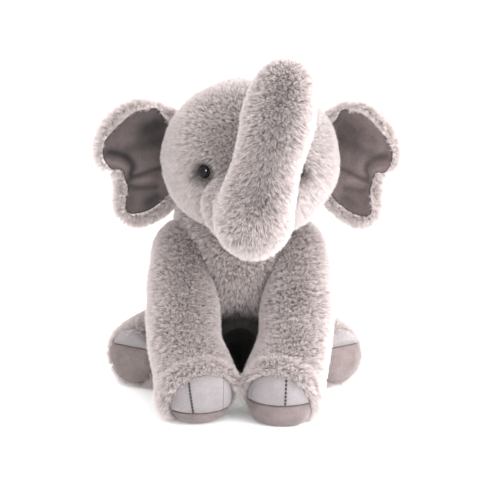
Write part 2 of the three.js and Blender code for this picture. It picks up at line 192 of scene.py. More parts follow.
def body_geometry(stations, grow=0.0, around=64, rings=40, cap=12):
    """Vertices and faces of a rounded body that follows its stations."""
    phi = np.linspace(-math.pi / 2, 0, cap + 1)[:-1]
    rows = [(0.0, math.cos(p), math.sin(p)) for p in phi]
    rows += [(t, 1.0, 0.0) for t in np.linspace(0, 1, rings)]
    rows += [(1.0, math.cos(p), math.sin(p)) for p in -phi[::-1]]
    t = np.array([r[0] for r in rows])
    at, r = along(stations, t)
    r = r + grow
    nudge = 0.002
    ahead = along(stations, np.clip(t + nudge, 0, 1))[0] - along(stations, np.clip(t - nudge, 0, 1))[0]
    ahead /= np.linalg.norm(ahead, axis=1)[:, None]
    x = np.array([1.0, 0, 0])
    side = x - ahead * (ahead @ x)[:, None]
    side /= np.linalg.norm(side, axis=1)[:, None]
    front = np.cross(side, ahead)
    angle = np.linspace(0, 2 * math.pi, around, endpoint=False)[:, None]
    verts = []
    for k, (_, ring, end) in enumerate(rows):
        middle = at[k] + ahead[k] * end * min(r[k])
        across = ring * r[k][0] * np.cos(angle) * side[k]
        verts.append(middle + across + ring * r[k][1] * np.sin(angle) * front[k])
    return np.vstack(verts), ring_faces(len(rows), around)


def linked(name, mesh):
    """A new object for a mesh, in the scene."""
    obj = bpy.data.objects.new(name, mesh)
    scene.collection.objects.link(obj)
    return obj


def smooth_shaded(obj):
    obj.data.polygons.foreach_set("use_smooth", [True] * len(obj.data.polygons))
    return obj


def new_object(name, verts, faces):
    """A mesh object from millimetres."""
    mesh = bpy.data.meshes.new(name)
    mesh.from_pydata([tuple(v * MM) for v in np.asarray(verts, float)], [], faces)
    bm = bmesh.new()
    bm.from_mesh(mesh)
    bmesh.ops.remove_doubles(bm, verts=bm.verts, dist=1e-6)
    bmesh.ops.recalc_face_normals(bm, faces=bm.faces)
    bm.to_mesh(mesh)
    bm.free()
    return linked(name, mesh)


def body_object(name, stations, grow=0.0, **detail):
    """A rounded body along its stations, grown by so many millimetres."""
    return new_object(name, *body_geometry(stations, grow, **detail))


def ball_object(name, form, grow=0.0, around=64, rings=40):
    """An ellipsoid from its middle and radii, in millimetres."""
    centre, radii = form[0], form[1] + grow
    bm = bmesh.new()
    bmesh.ops.create_uvsphere(bm, u_segments=around, v_segments=rings, radius=1.0)
    for v in bm.verts:
        v.co = Vector([(centre[i] + radii[i] * v.co[i]) * MM for i in range(3)])
    mesh = bpy.data.meshes.new(name)
    bm.to_mesh(mesh)
    bm.free()
    return linked(name, mesh)


def box_object(name, low, high):
    """A box from its low corner to its high one, in millimetres."""
    verts = [(x, y, z) for x in (low[0], high[0]) for y in (low[1], high[1]) for z in (low[2], high[2])]
    faces = [(0, 1, 3, 2), (4, 6, 7, 5), (0, 4, 5, 1), (2, 3, 7, 6), (0, 2, 6, 4), (1, 5, 7, 3)]
    return new_object(name, verts, faces)


def remove(obj):
    """Removes an object and its mesh."""
    mesh = obj.data
    bpy.data.objects.remove(obj)
    bpy.data.meshes.remove(mesh)


def apply_modifiers(obj):
    """The object's modifiers, made part of its mesh."""
    bpy.context.view_layer.update()
    made = bpy.data.meshes.new_from_object(obj.evaluated_get(bpy.context.evaluated_depsgraph_get()))
    old = obj.data
    obj.modifiers.clear()
    obj.data = made
    bpy.data.meshes.remove(old)
    return obj


def combine(obj, other, operation):
    """Cuts, joins or intersects obj with another object, which is then removed."""
    mod = obj.modifiers.new("combine", "BOOLEAN")
    mod.operation = operation
    mod.solver = "MANIFOLD"
    mod.object = other
    apply_modifiers(obj)
    remove(other)
    return obj


def turn_about(obj, at, axis, degrees):
    """Turns a mesh about an axis through a point, in millimetres."""
    p = Vector(at) * MM
    turn = Matrix.Rotation(math.radians(degrees), 4, axis)
    obj.data.transform(Matrix.Translation(p) @ turn @ Matrix.Translation(-p))
    return obj


def cut_room(obj, stations, axis, stops, grow):
    """Leaves room in obj for a body that turns about its first station."""
    for degrees in stops:
        tool = body_object("room", stations, grow, around=40, rings=16, cap=8)
        combine(obj, turn_about(tool, stations[0][0], axis, degrees), "DIFFERENCE")


def vertex_rows(obj, what):
    rows = np.zeros((len(obj.data.vertices), 3), np.float32)
    obj.data.vertices.foreach_get(what, rows.ravel())
    return rows.astype(float)


def points_of(obj):
    return vertex_rows(obj, "co") / MM


def normals_of(obj):
    return vertex_rows(obj, "normal")


def set_points(obj, points):
    obj.data.vertices.foreach_set("co", (points * MM).astype(np.float32).ravel())
    obj.data.update()


def remesh(obj, voxel, smooth):
    """An even mesh over the same form."""
    mod = obj.modifiers.new("remesh", "REMESH")
    mod.mode = "VOXEL"
    mod.voxel_size = voxel * MM
    mod = obj.modifiers.new("smooth", "SMOOTH")
    mod.factor = 0.5
    mod.iterations = smooth
    return smooth_shaded(apply_modifiers(obj))


def noise_at(points, scale, seed):
    """Smooth noise from about -1 to 1 for points in millimetres, with features of that size."""
    shift = Vector((seed * 17.3, seed * 5.1, seed * 9.7))
    return np.array([noise.noise(Vector(p / scale) + shift) for p in points]) * 2


def tufts_at(points, scale, seed):
    """Cell noise for clumps of pile: 1 in the middle of a clump, 0 between clumps."""
    shift = Vector((seed * 7.7, seed * 3.3, seed * 11.1))
    near = [noise.voronoi(Vector(p / scale) + shift)[0][0] for p in points]
    return 1 - np.clip(near, 0, 1)


def smoothstep(x, low, high):
    t = np.clip((x - low) / (high - low), 0, 1)
    return t * t * (3 - 2 * t)


def limit(points, start, most):
    """Points moved no further than most from where they started."""
    move = points - start
    far = np.linalg.norm(move, axis=1)
    return start + move * np.minimum(1, most / np.maximum(far, 1e-9))[:, None]


def run_cloth(obj, frames, most, pressure=0.0, pins=None, rest=None):
    """Settles obj as cloth, moving no point further than most millimetres, and applies it.

    Pressure swells it, pins hold their points, and rest gives the points of the cloth as it was cut.
    """
    start = points_of(obj)
    if rest is not None:
        obj.shape_key_add(name="start")
        key = obj.shape_key_add(name="cut")
        key.data.foreach_set("co", (rest * MM).astype(np.float32).ravel())
    mod = obj.modifiers.new("cloth", "CLOTH")
    cloth = mod.settings
    cloth.quality = 5
    cloth.mass = 0.15
    cloth.effector_weights.gravity = 0
    cloth.tension_stiffness = cloth.compression_stiffness = 20
    cloth.bending_stiffness = 0.1
    cloth.air_damping = 3
    if pressure:
        cloth.use_pressure = True
        cloth.uniform_pressure_force = pressure
    if rest is not None:
        cloth.rest_shape_key = obj.data.shape_keys.key_blocks["cut"]
    if pins is not None:
        group = obj.vertex_groups.new(name="pins")
        group.add([int(i) for i in np.nonzero(pins)[0]], 1.0, "REPLACE")
        cloth.vertex_group_mass = "pins"
    mod.point_cache.frame_start = 1
    mod.point_cache.frame_end = frames
    for frame_number in range(1, frames + 1):
        scene.frame_set(frame_number)
    apply_modifiers(obj)
    obj.vertex_groups.clear()
    scene.frame_set(1)
    set_points(obj, limit(points_of(obj), start, most))


def finer(obj):
    mod = obj.modifiers.new("finer", "SUBSURF")
    mod.levels = mod.render_levels = 1
    return apply_modifiers(obj)


def plump(obj):
    """Fills a sewn form: its coarse cloth swells under pressure, evens out and is made finer."""
    remesh(obj, 4.2, 1)
    run_cloth(obj, 20, 1.6, pressure=4.0)
    return finer(obj)


# Materials


def new_material(name, colour, roughness, sheen=0.0):
    mat = bpy.data.materials.new(name)
    mat.use_nodes = True
    shader = mat.node_tree.nodes["Principled BSDF"]
    shader.inputs["Base Color"].default_value = (*colour, 1)
    shader.inputs["Roughness"].default_value = roughness
    shader.inputs["Sheen Weight"].default_value = sheen
    shader.inputs["Sheen Roughness"].default_value = 0.5
    return mat, mat.node_tree.nodes, mat.node_tree.links, shader


def ramp(nodes, stops):
    node = nodes.new("ShaderNodeValToRGB")
    while len(node.color_ramp.elements) < len(stops):
        node.color_ramp.elements.new(0.5)
    for element, (at, colour) in zip(node.color_ramp.elements, stops):
        element.position = at
        element.color = (*colour, 1)
    return node


def noise_node(nodes, links, scale, detail, vector):
    node = nodes.new("ShaderNodeTexNoise")
    node.inputs["Scale"].default_value = scale
    node.inputs["Detail"].default_value = detail
    links.new(vector, node.inputs["Vector"])
    return node.outputs["Fac"]


# The pile's colours at its roots, in the middle and at its tips
FUR_ROOT = (0.20, 0.166, 0.160)
FUR_MID = (0.56, 0.499, 0.491)
FUR_TIP = (0.92, 0.862, 0.853)
# PALE is a lighter copy of the pile for the head and torso: painted light where they lie in shade
PALE = ((0.28, 0.240, 0.233), (0.70, 0.635, 0.625), (0.98, 0.93, 0.92))
# RIM is a paler copy of the pile for the ears: painted light for the glow of their backlit rims
RIM = ((0.60, 0.54, 0.53), (0.74, 0.68, 0.67), (0.98, 0.93, 0.92))


def bump(nodes, links, height, shader, strength, distance, invert=False):
    """Raises a surface where height is high, or low where it is inverted."""
    node = nodes.new("ShaderNodeBump")
    node.inputs["Strength"].default_value = strength
    node.inputs["Distance"].default_value = distance
    node.invert = invert
    links.new(height, node.inputs["Height"])
    links.new(node.outputs["Normal"], shader.inputs["Normal"])


def weighted(nodes, links, first, factor, second):
    """first times factor, plus second."""
    node = nodes.new("ShaderNodeMath")
    node.operation = "MULTIPLY_ADD"
    links.new(first, node.inputs[0])
    node.inputs[1].default_value = factor
    links.new(second, node.inputs[2])
    return node.outputs[0]


def spread(nodes, links, value, low, high):
    """Maps a value from 0 to 1 onto low to high."""
    node = nodes.new("ShaderNodeMapRange")
    node.inputs["To Min"].default_value = low
    node.inputs["To Max"].default_value = high
    links.new(value, node.inputs["Value"])
    return node.outputs["Result"]


def shaded(nodes, links, colour, socket):
    """Darkens a colour by the shade attribute: painted shade between parts, in hollows, folds and creases
    and down the trunk's parted front, and each ear lining's painted light and shade.
    """
    shade = nodes.new("ShaderNodeAttribute")
    shade.attribute_name = "shade"
    darker = nodes.new("ShaderNodeVectorMath")
    darker.operation = "MULTIPLY"
    links.new(colour, darker.inputs[0])
    links.new(shade.outputs["Color"], darker.inputs[1])
    links.new(darker.outputs["Vector"], socket)


def fur_cloth_material():
    """The pile as a surface: light tufts with darker gaps between them."""
    mat, nodes, links, shader = new_material("fur", FUR_MID, 0.95, 0.25)
    position = nodes.new("ShaderNodeNewGeometry").outputs["Position"]
    cells = nodes.new("ShaderNodeTexVoronoi")
    cells.inputs["Scale"].default_value = 420
    links.new(position, cells.inputs["Vector"])
    fine = noise_node(nodes, links, 900, 2.0, position)
    broad = noise_node(nodes, links, 60, 2.0, position)
    tufts = weighted(nodes, links, fine, 0.5, cells.outputs["Distance"])
    colours = ramp(nodes, [(0.25, FUR_TIP), (0.75, FUR_MID), (1.0, FUR_ROOT)])
    links.new(tufts, colours.inputs["Fac"])
    tint = nodes.new("ShaderNodeMix")
    tint.data_type = "RGBA"
    tint.blend_type = "MULTIPLY"
    tint.inputs["Factor"].default_value = 0.6
    shades = ramp(nodes, [(0.3, (0.86, 0.83, 0.82)), (0.7, (1, 1, 1))])
    links.new(broad, shades.inputs["Fac"])
    links.new(colours.outputs["Color"], tint.inputs["A"])
    links.new(shades.outputs["Color"], tint.inputs["B"])
    shaded(nodes, links, tint.outputs["Result"], shader.inputs["Base Color"])
    bump(nodes, links, tufts, shader, 0.5, 1 * MM, invert=True)
    return mat


def fur_strand_material(name, root, middle, tip):
    """Strands of pile: brown-grey at the root and silver at the tip."""
    mat, nodes, links, shader = new_material(name, FUR_MID, 0.85, 0.0)
    shader.inputs["Specular IOR Level"].default_value = 0.125
    info = nodes.new("ShaderNodeHairInfo")
    colours = ramp(nodes, [(0.0, root), (0.45, middle), (1.0, tip)])
    links.new(info.outputs["Intercept"], colours.inputs["Fac"])
    scale = nodes.new("ShaderNodeVectorMath")
    scale.operation = "SCALE"
    links.new(colours.outputs["Color"], scale.inputs[0])
    links.new(spread(nodes, links, info.outputs["Random"], 0.82, 1.08), scale.inputs["Scale"])
    shaded(nodes, links, scale.outputs["Vector"], shader.inputs["Base Color"])
    through = nodes.new("ShaderNodeBsdfTranslucent")
    shaded(nodes, links, scale.outputs["Vector"], through.inputs["Color"])
    mix = nodes.new("ShaderNodeMixShader")
    mix.inputs["Fac"].default_value = 0.3
    links.new(shader.outputs["BSDF"], mix.inputs[1])
    links.new(through.outputs["BSDF"], mix.inputs[2])
    links.new(mix.outputs["Shader"], nodes["Material Output"].inputs["Surface"])
    return mat


FUR = fur_cloth_material()
STRANDS = fur_strand_material("fur_strands", FUR_ROOT, FUR_MID, FUR_TIP)
PALE_PAINTED_LIGHT_STRANDS = fur_strand_material("pale_painted_light_strands", *PALE)  # on the head and chest: painted light, paler than the pile elsewhere
PAINTED_LIGHT_RIM_STRANDS = fur_strand_material("painted_light_rim_strands", *RIM)  # on the ears: painted light for their backlit rims


def short_pile_material(name, dark, light, sheen, painted_shade=False):
    """Short velvet: fine speckle, and broad soft patches where the nap is brushed.

    With painted_shade, the shade attribute darkens it: painted shade in its folds, each ear's painted light
    and shade, and a darker seam.
    """
    mat, nodes, links, shader = new_material(name, light, 0.85, sheen)
    position = nodes.new("ShaderNodeNewGeometry").outputs["Position"]
    fine = noise_node(nodes, links, 1500, 3.0, position)
    broad = noise_node(nodes, links, 90, 3.0, position)
    nap = weighted(nodes, links, broad, 0.6, fine)
    colours = ramp(nodes, [(0.55, dark), (0.98, light)])
    links.new(nap, colours.inputs["Fac"])
    if painted_shade:
        shaded(nodes, links, colours.outputs["Color"], shader.inputs["Base Color"])
    else:
        links.new(colours.outputs["Color"], shader.inputs["Base Color"])
    bump(nodes, links, fine, shader, 0.25, 0.4 * MM)
    return mat


LINING = short_pile_material("lining", (0.08, 0.058, 0.057), (0.18, 0.137, 0.135), 0.3, painted_shade=True)
SOLE = short_pile_material("sole", (0.10, 0.076, 0.074), (0.19, 0.152, 0.148), 0.25)
NAIL = short_pile_material("nail", (0.185, 0.167, 0.173), (0.25, 0.228, 0.235), 0.15)
STUFFING = short_pile_material("stuffing", (0.7, 0.69, 0.66), (0.9, 0.89, 0.86), 0.1)
THREAD, *_ = new_material("thread", (0.012, 0.011, 0.012), 0.6, 0.1)
PALE_THREAD, *_ = new_material("pale_thread", (0.16, 0.14, 0.145), 0.7, 0.1)
WASHER, *_ = new_material("washer", (0.8, 0.79, 0.77), 0.5)


def bead_material():
    mat, nodes, links, shader = new_material("bead", (0.004, 0.0035, 0.004), 0.07)
    shader.inputs["Specular IOR Level"].default_value = 0.1
    position = nodes.new("ShaderNodeNewGeometry").outputs["Position"]
    smudge = noise_node(nodes, links, 300, 2.0, position)
    links.new(spread(nodes, links, smudge, 0.05, 0.14), shader.inputs["Roughness"])
    return mat


BEAD = bead_material()


def dress(obj, material):
    """Gives obj its one material."""
    obj.data.materials.clear()
    obj.data.materials.append(material)


def stand_in(obj, body, fill, *replaced):
    """Puts a padded piece on its body, in place of the nodes that it stands for."""
    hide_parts(*replaced)
    if body:
        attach(obj, body)


STRANDS_PER_MM2 = 2.6
CHILDREN = 16  # strands round each one that is placed
HAIR_SPEED = 4  # Blender makes a hair this many times as long as its speed off the surface
WEIGHT_STEPS = 20  # the pile's density and length are kept to this many steps


def shade_corners(obj, shade):
    """Keeps the painted shade at each point, for the pile and lining materials."""
    layer = obj.data.color_attributes.new("shade", "BYTE_COLOR", "CORNER")
    corner = np.zeros(len(obj.data.loops), np.int32)
    obj.data.loops.foreach_get("vertex_index", corner)
    value = np.clip(shade, 0, 1)[corner]
    colours = np.stack([value, value, value, np.ones_like(value)], 1)
    layer.data.foreach_set("color", colours.astype(np.float32).ravel())
    obj.data.color_attributes.active_color = layer


def weigh_vertices(obj, name, weights):
    """A vertex group with a weight from 0 to 1 for each vertex."""
    group = obj.vertex_groups.new(name=name)
    steps = np.round(np.clip(weights, 0, 1) * WEIGHT_STEPS).astype(int)
    for step in range(1, WEIGHT_STEPS + 1):
        chosen = np.nonzero(steps == step)[0]
        if len(chosen):
            group.add([int(i) for i in chosen], step / WEIGHT_STEPS, "REPLACE")


PILE_SETTINGS = {
    "hair_step": 3,
    "emit_from": "FACE",
    "use_emit_random": True,
    "use_even_distribution": True,
    "distribution": "RAND",
    "material": 2,
    "child_type": "INTERPOLATED",
    "rendered_child_count": CHILDREN,
    "child_length_threshold": 0.2,
    "clump_shape": 0.2,
    "roughness_1": 0.6 * MM,
    "roughness_1_size": 0.01,
    "roughness_2": 1.3 * MM,
    "roughness_2_size": 0.3,
    "roughness_endpoint": 0.7 * MM,
    "root_radius": 1.0,
    "tip_radius": 0.35,
    "radius_scale": 0.19 * MM,
    "render_step": 2,
    "use_advanced_hair": True,
}
DOWN = (0, 0, -0.3)


def grow_pile(obj, weights, strand=7.5, seed=1, comb=DOWN, clump=0.12, strands=STRANDS, dense=1.0):
    """Strands on obj: the density, length and shade in weights are from 0 to 1 for each vertex.

    The full length is strand, in millimetres. The pile is brushed the way of comb, and has dense times
    STRANDS_PER_MM2 strands.
    """
    density, length, shade = weights
    weigh_vertices(obj, "density", density)
    weigh_vertices(obj, "length", length)
    shade_corners(obj, shade)
    obj.data.materials.append(strands)
    obj.modifiers.new("pile", "PARTICLE_SYSTEM")
    system = obj.particle_systems[-1]
    system.seed = seed
    pile = system.settings
    pile.type = "HAIR"
    for setting, value in PILE_SETTINGS.items():
        setattr(pile, setting, value)
    area = sum(p.area for p in obj.data.polygons) / MM**2
    pile.count = max(50, int(area * STRANDS_PER_MM2 * dense / CHILDREN))
    pile.hair_length = strand * MM
    pile.clump_factor = clump
    speed = strand * MM / HAIR_SPEED
    pile.object_align_factor = [c * speed for c in comb]
    pile.brownian_factor = 0.13 * speed
    pile.effector_weights.gravity = 0
    system.vertex_group_density = "density"
    system.vertex_group_length = "length"


def fluff(obj, seed, tuft=0.65, swell=0.8, lift=0.6):
    """Gives a form the unevenness of stuffed fur: broad swells, small clumps of pile and a fine grain."""
    p, n = points_of(obj), normals_of(obj)
    clumps = tuft * (tufts_at(p, 3.4, seed) - 0.5)
    grain = 0.2 * noise_at(p, 2.2, seed + 3)
    out = lift + swell * noise_at(p, 24, seed) + clumps + grain
    set_points(obj, p + n * out[:, None])


def flat_bottom(obj, height=FLOOR_GAP):
    """Presses obj flat at a height above the floor."""
    p = points_of(obj)
    p[:, 2] = np.maximum(p[:, 2], height)
    set_points(obj, p)
    return obj


def cut_ellipsoid(obj, form, grow=0.0, operation="DIFFERENCE"):
    return combine(obj, ball_object("tool", form, grow), operation)


def side_point(point, side):
    return np.array([MID_X + side * point[0], point[1], point[2]])


BODIES = {"torso": [TORSO], "trunk": [TRUNK_LOWER, TRUNK_UPPER], "tail": [TAIL]}
for name, side in SIDES.items():
    BODIES["front_" + name] = [sided(FRONT_LEG, side)]
    BODIES["hind_" + name] = [sided(HIND_LEG, side, HIND_SPREAD[side])]


def clear_of(points, own):
    """How far points are outside every other body of the toy, at the roots of its pile."""
    best = np.full(len(points), NOWHERE)
    for name, parts in BODIES.items():
        if name != own:
            for stations in parts:
                best = np.minimum(best, depth(points, stations) + PILE)
    if own != "head":
        best = np.minimum(best, outside_ellipsoid(points, HEAD) + PILE)
    return best


def pile_weights(obj, own):
    """Where pile grows, how long it is, and its painted shade: none inside a neighbour or under the toy,
    and painted shade near a neighbour.
    """
    p = points_of(obj)
    free = clear_of(p, own)
    density = (free > -1.5).astype(float) * (p[:, 2] > 2.5)
    length = 0.45 + 0.55 * smoothstep(free, 0, 8)
    length *= 0.5 + 0.5 * smoothstep(p[:, 2], 2, 10)
    # painted shade: the pile is darker where it nears another body
    shade = 0.88 + 0.12 * smoothstep(free, 0, 9)
    return p, density, length, shade


def on_floor(obj):
    return points_of(obj)[:, 2].min() < 3


def stuffed(obj, seed, replaced, body, fill=0.8, adjust=None, plumped=True):
    """Finishes a furry, stuffed piece: adjust moves its points before the pile is raised."""
    if plumped:
        plump(obj)
        if on_floor(obj):
            flat_bottom(obj)
    remesh(obj, 1.5, 4)
    if adjust:
        set_points(obj, adjust(points_of(obj), normals_of(obj)))
    fluff(obj, seed)
    if on_floor(obj):
        flat_bottom(obj)
    dress(obj, FUR)
    stand_in(obj, body, fill, *replaced)


def make_torso():
    """The body, with room for the limbs at every angle that they turn to."""
    obj = flat_bottom(body_object("torso_fur", TORSO, -PILE), 1.0)
    cut_ellipsoid(obj, HEAD, ROOM)
    cut_ellipsoid(obj, BELLY_HOLLOW)
    for side in SIDES.values():
        cut_room(obj, sided(FRONT_LEG, side), "X", FRONT_LEG_STOPS, ROOM)
        hind_stops = [side * degrees for degrees in HIND_LEG_STOPS]
        cut_room(obj, sided(HIND_LEG, side, HIND_SPREAD[side]), "Z", hind_stops, ROOM)
    cut_room(obj, TAIL, "X", TAIL_STOPS, -1.0)
    stuffed(obj, 1, ("torso_skin", "torso_stuffing"), "torso", plumped=False)
    p, density, length, shade = pile_weights(obj, "torso")
    # painted shadow in the belly's hollow between the legs
    shade *= 0.14 + 0.86 * smoothstep(outside_ellipsoid(p, BELLY_HOLLOW), 1, 9)
    grow_pile(obj, (density, length, shade), seed=11, strands=PALE_PAINTED_LIGHT_STRANDS)


def make_head():
    """The head; its pile is short round each eye and darkened there by painted shade, with a painted crease
    shadow from its outer corner.
    """
    obj = ball_object("head_fur", HEAD, -PILE, 96, 64)
    cut_room(obj, TRUNK_LOWER, "X", TRUNK_STOPS, ROOM)
    stuffed(obj, 2, ("head_skin", "head_stuffing"), "head", 0.9)
    p, density, length, shade = pile_weights(obj, "head")
    for name, side in SIDES.items():
        eye = EYES[name][0]
        near = np.linalg.norm(p - eye, axis=1)
        density *= near > 5.2
        length *= 0.35 + 0.65 * smoothstep(near, 5, 13)
        # painted shade round the sunk eye, and a painted crease shadow from its outer corner
        shade *= 0.35 + 0.65 * smoothstep(near, 5, 12)
        crease = eye + np.outer(np.linspace(5, 13, 9), [0.75 * side, 0.55, -0.4])
        shade *= 1 - 0.4 * np.exp(-((path_distance(p, crease) / 2.5) ** 2))
    # The head's pale pile is painted light; it is dimmed a little all over
    grow_pile(obj, (density, length, 0.93 * shade), seed=12, strands=PALE_PAINTED_LIGHT_STRANDS)


def make_trunk():
    """One tube from the face to the tip, which bends at its elbow; its tousled front is darker, with
    painted shade down the middle where its pile is parted.
    """
    obj = body_object("trunk_fur", TRUNK_LOWER, -PILE)
    combine(obj, body_object("tip", TRUNK_UPPER, -PILE), "UNION")
    cut_ellipsoid(obj, MUZZLE, -PILE, "UNION")
    replaced = ("trunk_lower_skin", "trunk_lower_stuffing", "trunk_upper_skin", "trunk_upper_stuffing")
    stuffed(obj, 3, replaced, None, 0.9)
    p, density, length, shade = pile_weights(obj, "trunk")
    line, _ = centre_line(TRUNK_UPPER)
    ridge = np.interp(p[:, 2], line[:, 2], line[:, 0])
    # painted shade down the front middle, where the pile is also parted and tousled
    parted_and_shaded = np.exp(-(((p[:, 0] - ridge) / 8) ** 2)) * smoothstep(-p[:, 1], 84, 96)
    shade -= 0.17 * parted_and_shaded * smoothstep(p[:, 2], 150, 172)
    grow_pile(obj, (density, length, shade), seed=13)
    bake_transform(obj)


def eye_places():
    """Each eye's place on the head, and the way that it looks."""
    places = {}
    for name, side in SIDES.items():
        deep = math.sqrt(EYE_SPHERE**2 - EYE["across"] ** 2 - EYE["up"] ** 2)
        out = np.array([EYE["across"] * side, -deep, EYE["up"]]) / EYE_SPHERE
        places[name] = (HEAD_TURN + out * (EYE_SPHERE - EYE["sunk"]), out)
    return places


EYES = eye_places()


def lathe(name, profile, around=48):
    """A turned form about +Z, from (radius, height) points in millimetres that start and end at 0."""
    angle = np.linspace(0, 2 * math.pi, around, endpoint=False)
    verts = [(r * math.cos(a), r * math.sin(a), z) for r, z in profile for a in angle]
    return smooth_shaded(new_object(name, verts, ring_faces(len(profile), around)))


def make_eye(name):
    """A glossy dome with a narrow flange, on its shank."""
    shank, bead, dome = EYE["shank"], EYE["bead"], EYE["dome"]
    length = EYE["length"]
    profile = [(0, -length), (shank, -length), (shank, -0.4), (bead - 0.3, -0.4), (bead, -0.1)]
    profile += [(bead * math.cos(a), dome * math.sin(a)) for a in np.linspace(0.03, math.pi / 2, 18)]
    obj = lathe(f"eye_bead_{name}", profile)
    at, out = EYES[name]
    turn = Vector((0, 0, 1)).rotation_difference(Vector(out)).to_matrix().to_4x4()
    obj.data.transform(Matrix.Translation(Vector(at) * MM) @ turn)
    dress(obj, BEAD)
    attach(obj, "head")
    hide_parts(f"eye_{name}")


def pressed(points, side):
    """A front foot's ball, spread towards the floor until it stands on a broad sole."""
    foot, power, ball = side_point(FRONT_FOOT, side), FOOT_PRESS[side], 27.0
    low = np.clip((foot[2] - points[:, 2]) / ball, 0, 0.93)
    wider = (1 - low**power) ** (1 / power) / np.sqrt(1 - low**2)
    near = 1 - smoothstep(np.linalg.norm(points[:, :2] - foot[:2], axis=1), ball, ball + 7)
    near *= 1 - smoothstep(points[:, 1], foot[1], foot[1] + 16)
    scale = 1 + (wider - 1) * near * (points[:, 2] < foot[2])
    moved = points.copy()
    moved[:, :2] = foot[:2] + (points[:, :2] - foot[:2]) * scale[:, None]
    return moved


def make_front_leg(name, side):
    stations = sided(FRONT_LEG, side)
    cap_form = (side_point(FRONT_FOOT, side) + FOOT_CAP[0] * [side, 1, 1], FOOT_CAP[1])

    def cuff(p, n):
        """The sleeve of fur stands up round the foot's cap."""
        edge = outside_ellipsoid(p, cap_form)
        p = pressed(p, side)
        in_front = p[:, 1] < cap_form[0][1] + 20
        return p + n * (2.6 * np.exp(-(((edge - 4.5) / 3.5) ** 2)) * in_front)[:, None]

    obj = flat_bottom(body_object(f"front_leg_fur_{name}", stations, -PILE), 1.0)
    replaced = (f"front_leg_skin_{name}", f"front_leg_stuffing_{name}")
    stuffed(obj, 4 + side, replaced, "front_leg_" + name, adjust=cuff)
    p, density, length, shade = pile_weights(obj, "front_" + name)
    edge = outside_ellipsoid(p, cap_form)
    density *= edge > 0.5
    length *= 0.65 + 0.35 * smoothstep(edge, 0, 6)
    grow_pile(obj, (density, length, shade), seed=20 + side)
    make_foot_cap(name, side, stations, cap_form)


def cut_panels(shell, leg, name, split, voxel):
    """The nail panel and the sole of a foot: the parts of its shell above and below a height."""
    heights = {"nail_panel": (split + SEAM_GAP, FAR), "sole": (0.6, split - SEAM_GAP)}
    panels = {}
    for part, (low, high) in heights.items():
        obj = linked(f"{leg}_{part}_cloth_{name}", shell.data.copy())
        combine(obj, box_object("keep", (-FAR, -FAR, low), (FAR, FAR, high)), "INTERSECT")
        panels[part] = remesh(obj, voxel, 3)
    remove(shell)
    return panels


def puff(obj, height, edge_of):
    """Swells a flat panel away from its edges."""
    p, n = points_of(obj), normals_of(obj)
    set_points(obj, p + n * (height * edge_of(p))[:, None])


def finish_panels(panels, leg, name):
    for part, obj in panels.items():
        flat_bottom(obj)
        dress(obj, {"nail_panel": NAIL, "sole": SOLE}[part])
        stand_in(obj, f"{leg}_leg_{name}", 0.7, f"{leg}_{part}_{name}")


def make_foot_cap(name, side, stations, cap_form):
    """The velvet nail panel and sole that close a front foot, with their stitched lines."""
    split = SOLE_EDGE[side]
    shell = body_object("shell", stations, -1.6, around=96, rings=60, cap=20)
    combine(shell, body_object("inner", stations, -8.0), "DIFFERENCE")
    cut_ellipsoid(shell, cap_form, 0.0, "INTERSECT")
    panels = cut_panels(shell, "front", name, split, 0.8)

    def rounded(p):
        inside = -outside_ellipsoid(p, cap_form)
        return smoothstep(inside, 0, 7) * smoothstep(np.abs(p[:, 2] - split), 0, 5)

    for obj in panels.values():
        puff(obj, 1.3, rounded)
        set_points(obj, pressed(points_of(obj), side))
    finish_panels(panels, "front", name)
    for which, line in zip(NAIL_THREAD, NAIL_LINES[side]):
        top, bottom = (cap_form[0][0] + side * x for x in line)
        path, outwards = panel_line(panels["nail_panel"], top, bottom, split + 0.8, 46.0)
        obj = stitches(path, outwards, NAIL_THREAD[which], STITCH_GAP[side])
        obj.name = f"front_nail_stitches_{which}_{name}"
        dress(obj, THREAD if which == "outer" else PALE_THREAD)
        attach(obj, "front_leg_" + name)
        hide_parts(f"front_nail_line_{which}_{name}")


def panel_line(panel, top, bottom, low, high):
    """Points up the front of a panel from (bottom, low) to (top, high), and the way it faces there."""
    bm = bmesh.new()
    bm.from_mesh(panel.data)
    tree = BVHTree.FromBMesh(bm)
    bm.free()
    count, in_front = 60, -140
    hits = []
    for x, z in zip(np.linspace(bottom, top, count), np.linspace(low, high, count)):
        hits.append(tree.ray_cast(Vector((x, in_front, z)) * MM, Vector((0, 1, 0))))
    hits = [hit for hit in hits if hit[0] is not None]
    return np.array([hit[0] for hit in hits]) / MM, np.array([hit[1] for hit in hits])


def stitches(path, outwards, thick, gap, length=2.4):
    """A row of stitches along a path: rounded rods of thread with gaps between them."""
    rings, around = 7, 8
    walked = np.concatenate([[0], np.cumsum(np.linalg.norm(np.diff(path, axis=0), axis=1))])

    def at(distance):
        return np.array([np.interp(distance, walked, path[:, k]) for k in range(3)])

    verts, faces = [], []
    start = 0.2
    while start + length < walked[-1]:
        base = len(verts)
        for f in np.linspace(0, 1, rings):
            here = start + f * length
            ahead = at(here + 0.1) - at(here - 0.1)
            ahead /= np.linalg.norm(ahead)
            out = outwards[min(int(np.searchsorted(walked, here)), len(path) - 1)]
            across = np.cross(ahead, out)
            radius = thick * math.sqrt(max(1 - (2 * f - 1) ** 6, 0.02))
            for k in range(around):
                a = 2 * math.pi * k / around
                spoke = math.cos(a) * across + 0.8 * math.sin(a) * out
                verts.append(at(here) + radius * spoke + 0.15 * out)
        faces += ring_faces(rings, around, base)
        last = base + (rings - 1) * around
        faces.append(tuple(range(base, base + around))[::-1])
        faces.append(tuple(range(last, last + around)))
        start += length + gap
    return smooth_shaded(new_object("stitches", verts, faces))


